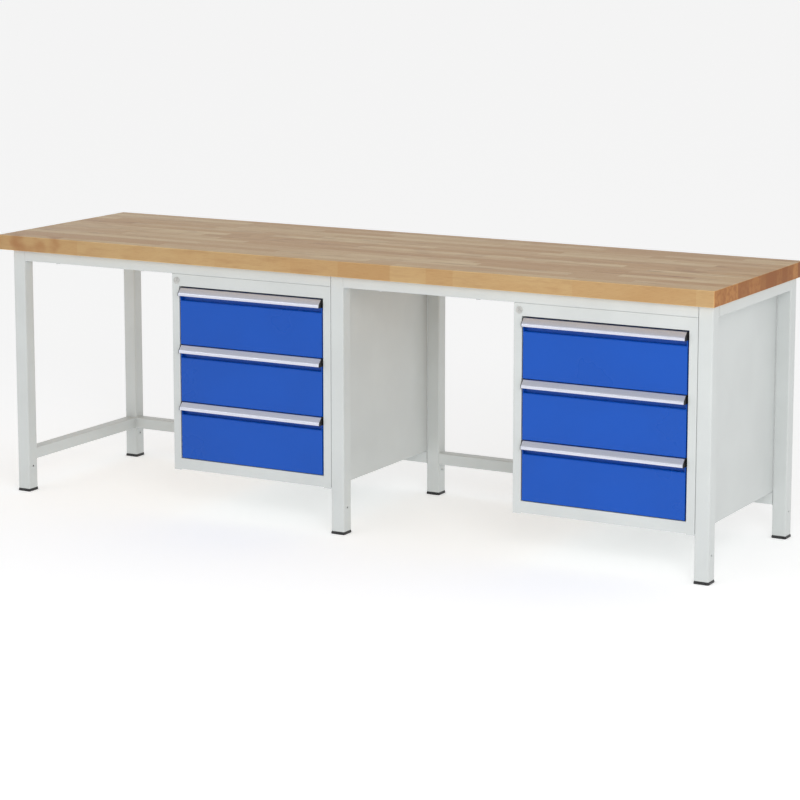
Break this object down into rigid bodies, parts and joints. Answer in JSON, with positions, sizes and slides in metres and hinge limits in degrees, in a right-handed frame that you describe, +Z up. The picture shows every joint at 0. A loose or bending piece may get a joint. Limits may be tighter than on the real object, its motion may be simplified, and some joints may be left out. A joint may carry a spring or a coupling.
{
  "type": "workbench with drawers",
  "caption": "Long workbench: glued beech worktop on a welded light grey steel frame, with hanging cabinets of lockable blue drawers with full-width aluminium grips.",
  "frame": {"origin": "on the floor, under the middle of the worktop", "axes": "+X along the worktop to the right, +Y from the front edge to the back, +Z up; the drawers open towards -Y"},
  "size_m": [2.5, 0.7, 0.85],
  "materials": {
    "beech_worktop": "oiled, glued staves",
    "frame_grey": "light grey powder coat",
    "drawer_blue": "blue powder coat, satin",
    "drawer_box_grey": "light grey powder coat",
    "handle_aluminium": "satin anodised",
    "black_plastic": "moulded, matt",
    "zinc_steel": "bright zinc",
    "lock_nickel": "satin nickel"
  },
  "bodies": {
    "bench": {"cabinet_hangers": "frame_grey", "foot_caps": "black_plastic", "front_top_rail_left": "frame_grey", "front_top_rail_right": "frame_grey", "leg_front_left": "frame_grey", "leg_front_middle": "frame_grey", "leg_front_right": "frame_grey", "leg_rear_left": "frame_grey", "leg_rear_middle": "frame_grey", "leg_rear_right": "frame_grey", "middle_cabinet_back": "frame_grey", "middle_cabinet_front_frame": "frame_grey", "middle_cabinet_runner_rails": "zinc_steel", "middle_cabinet_shell": "frame_grey", "middle_lock_housing": "lock_nickel", "rear_stretchers": "frame_grey", "rear_top_rails": "frame_grey", "right_cabinet_back": "frame_grey", "right_cabinet_front_frame": "frame_grey", "right_cabinet_runner_rails": "zinc_steel", "right_cabinet_shell": "frame_grey", "right_lock_housing": "lock_nickel", "side_stretcher_left": "frame_grey", "side_top_rails": "frame_grey", "worktop": "beech_worktop", "worktop_screws": "zinc_steel"},
    "middle_top_drawer": {"middle_top_drawer_box": "drawer_box_grey", "middle_top_drawer_front": "drawer_blue", "middle_top_drawer_handle": "handle_aluminium", "middle_top_drawer_handle_caps": "black_plastic", "middle_top_drawer_runners": "zinc_steel"},
    "middle_centre_drawer": {"middle_centre_drawer_box": "drawer_box_grey", "middle_centre_drawer_front": "drawer_blue", "middle_centre_drawer_handle": "handle_aluminium", "middle_centre_drawer_handle_caps": "black_plastic", "middle_centre_drawer_runners": "zinc_steel"},
    "middle_bottom_drawer": {"middle_bottom_drawer_box": "drawer_box_grey", "middle_bottom_drawer_front": "drawer_blue", "middle_bottom_drawer_handle": "handle_aluminium", "middle_bottom_drawer_handle_caps": "black_plastic", "middle_bottom_drawer_runners": "zinc_steel"},
    "middle_lock_cylinder": {"middle_lock_cylinder": "lock_nickel"},
    "middle_lock_bar": {"middle_lock_bar": "zinc_steel"},
    "right_top_drawer": {"right_top_drawer_box": "drawer_box_grey", "right_top_drawer_front": "drawer_blue", "right_top_drawer_handle": "handle_aluminium", "right_top_drawer_handle_caps": "black_plastic", "right_top_drawer_runners": "zinc_steel"},
    "right_centre_drawer": {"right_centre_drawer_box": "drawer_box_grey", "right_centre_drawer_front": "drawer_blue", "right_centre_drawer_handle": "handle_aluminium", "right_centre_drawer_handle_caps": "black_plastic", "right_centre_drawer_runners": "zinc_steel"},
    "right_bottom_drawer": {"right_bottom_drawer_box": "drawer_box_grey", "right_bottom_drawer_front": "drawer_blue", "right_bottom_drawer_handle": "handle_aluminium", "right_bottom_drawer_handle_caps": "black_plastic", "right_bottom_drawer_runners": "zinc_steel"},
    "right_lock_cylinder": {"right_lock_cylinder": "lock_nickel"},
    "right_lock_bar": {"right_lock_bar": "zinc_steel"}
  },
  "joints": [
    {"name": "middle_top_drawer_slide", "type": "slide", "parent": "bench", "child": "middle_top_drawer", "axis": [0, -1, 0], "range_m": [0, 0.43]},
    {"name": "middle_centre_drawer_slide", "type": "slide", "parent": "bench", "child": "middle_centre_drawer", "axis": [0, -1, 0], "range_m": [0, 0.43]},
    {"name": "middle_bottom_drawer_slide", "type": "slide", "parent": "bench", "child": "middle_bottom_drawer", "axis": [0, -1, 0], "range_m": [0, 0.43]},
    {"name": "middle_lock_bar_drop", "type": "slide", "parent": "bench", "child": "middle_lock_bar", "axis": [0, 0, -1], "range_m": [0, 0.01131]},
    {"name": "middle_lock_turn", "type": "hinge", "parent": "bench", "child": "middle_lock_cylinder", "pos_m": [-0.5664, -0.328, 0.7465], "axis": [0, -1, 0], "range_deg": [0, 90.5]},
    {"name": "right_top_drawer_slide", "type": "slide", "parent": "bench", "child": "right_top_drawer", "axis": [0, -1, 0], "range_m": [0, 0.43]},
    {"name": "right_centre_drawer_slide", "type": "slide", "parent": "bench", "child": "right_centre_drawer", "axis": [0, -1, 0], "range_m": [0, 0.43]},
    {"name": "right_bottom_drawer_slide", "type": "slide", "parent": "bench", "child": "right_bottom_drawer", "axis": [0, -1, 0], "range_m": [0, 0.43]},
    {"name": "right_lock_bar_drop", "type": "slide", "parent": "bench", "child": "right_lock_bar", "axis": [0, 0, -1], "range_m": [0, 0.01131]},
    {"name": "right_lock_turn", "type": "hinge", "parent": "bench", "child": "right_lock_cylinder", "pos_m": [0.6336, -0.328, 0.7465], "axis": [0, -1, 0], "range_deg": [0, 90.5]}
  ],
  "couplings": [
    {"joint": "middle_lock_turn", "follows": "middle_lock_bar_drop", "rad_per_m": 138.84},
    {"joint": "right_lock_turn", "follows": "right_lock_bar_drop", "rad_per_m": 138.84}
  ]
}
